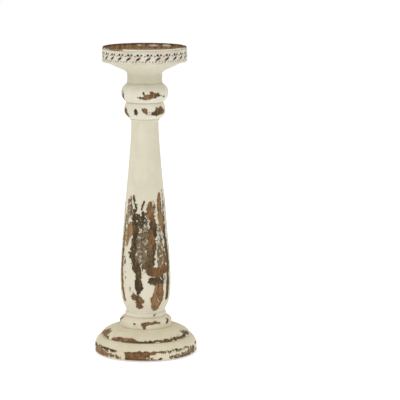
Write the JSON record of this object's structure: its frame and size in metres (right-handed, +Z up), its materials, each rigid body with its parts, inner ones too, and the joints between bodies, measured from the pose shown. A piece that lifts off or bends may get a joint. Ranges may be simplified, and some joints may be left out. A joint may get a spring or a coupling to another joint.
{
  "type": "wooden candlestick",
  "caption": "Tall turned wooden candlestick with a stepped round base, baluster stem, knop and flared top under a shallow steel pan, in worn cream paint.",
  "frame": {"origin": "centre of the underside, on the surface that the candlestick stands on", "axes": "+Z up along the turning axis; -Y is the front"},
  "size_m": [0.152, 0.152, 0.4572],
  "materials": {
    "painted_wood": "matt cream chalk paint, worn through to dark undercoat and brown wood",
    "bare_wood": "sawn and sanded",
    "pan_steel": "rust brown with worn cream paint",
    "strip_steel": "matt cream paint over pierced sheet",
    "zinc_steel": "zinc plated",
    "felt": "pressed felt"
  },
  "bodies": {
    "root": {"plinth": "painted_wood", "base_cap": "painted_wood", "collar": "painted_wood", "stem": "painted_wood", "neck_ring": "painted_wood", "knop": "painted_wood", "capital": "painted_wood", "top_dowel": "bare_wood", "pan": "pan_steel", "gallery_strip": "strip_steel", "strip_pin_1": "strip_steel", "strip_pin_2": "strip_steel", "strip_pin_3": "strip_steel", "pan_screw": "zinc_steel", "base_screw": "zinc_steel", "base_washer": "zinc_steel", "foot_pad_1": "felt", "foot_pad_2": "felt", "foot_pad_3": "felt", "foot_pad_4": "felt"}
  },
  "joints": []
}
